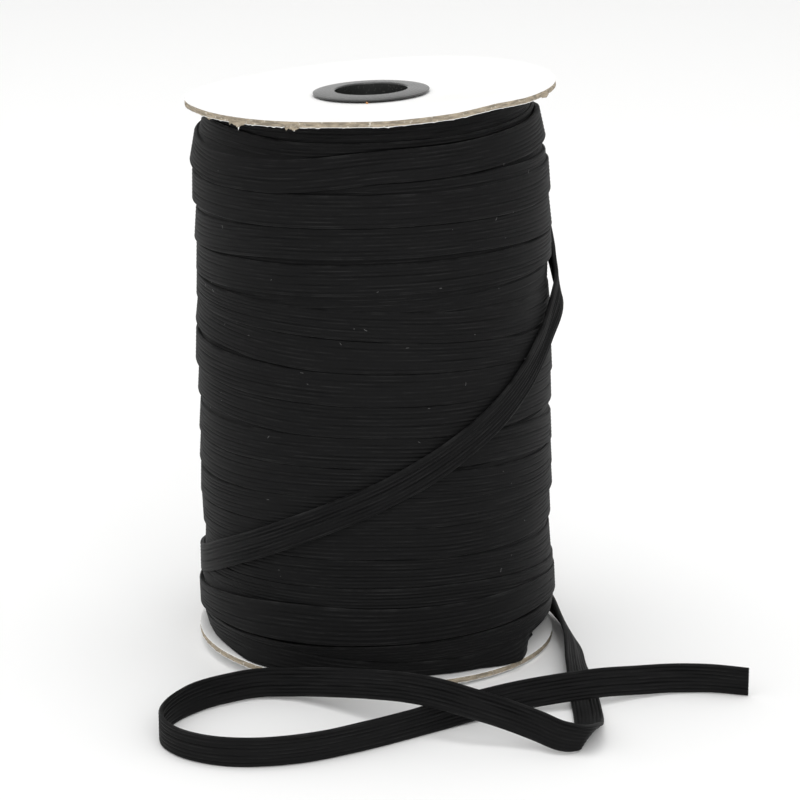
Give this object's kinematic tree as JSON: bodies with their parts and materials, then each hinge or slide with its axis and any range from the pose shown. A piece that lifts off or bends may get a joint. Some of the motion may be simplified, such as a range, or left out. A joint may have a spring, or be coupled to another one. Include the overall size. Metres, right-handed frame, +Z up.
{
  "type": "reel of elastic",
  "caption": "Reel of flat braided elastic on card discs and a plastic hub, its loose end laid in a long loop.",
  "frame": {"origin": "centre of the reel's base, on the surface it stands on, the loose end left out", "axes": "+Z up along the reel's axis, -Y towards the side where the loose end lies, +X to the right seen from there"},
  "size_m": [0.1265, 0.1226, 0.1286],
  "materials": {
    "card": "white faced chipboard, matt, with a tan fibrous cut edge",
    "hub_plastic": "black moulded plastic, satin",
    "elastic": "black flat braided elastic with ribs along it"
  },
  "bodies": {
    "root": {"disc_top": "card", "disc_bottom": "card", "hub_top": "hub_plastic", "hub_bottom": "hub_plastic", "winding": "elastic", "tail": "elastic"}
  },
  "joints": []
}
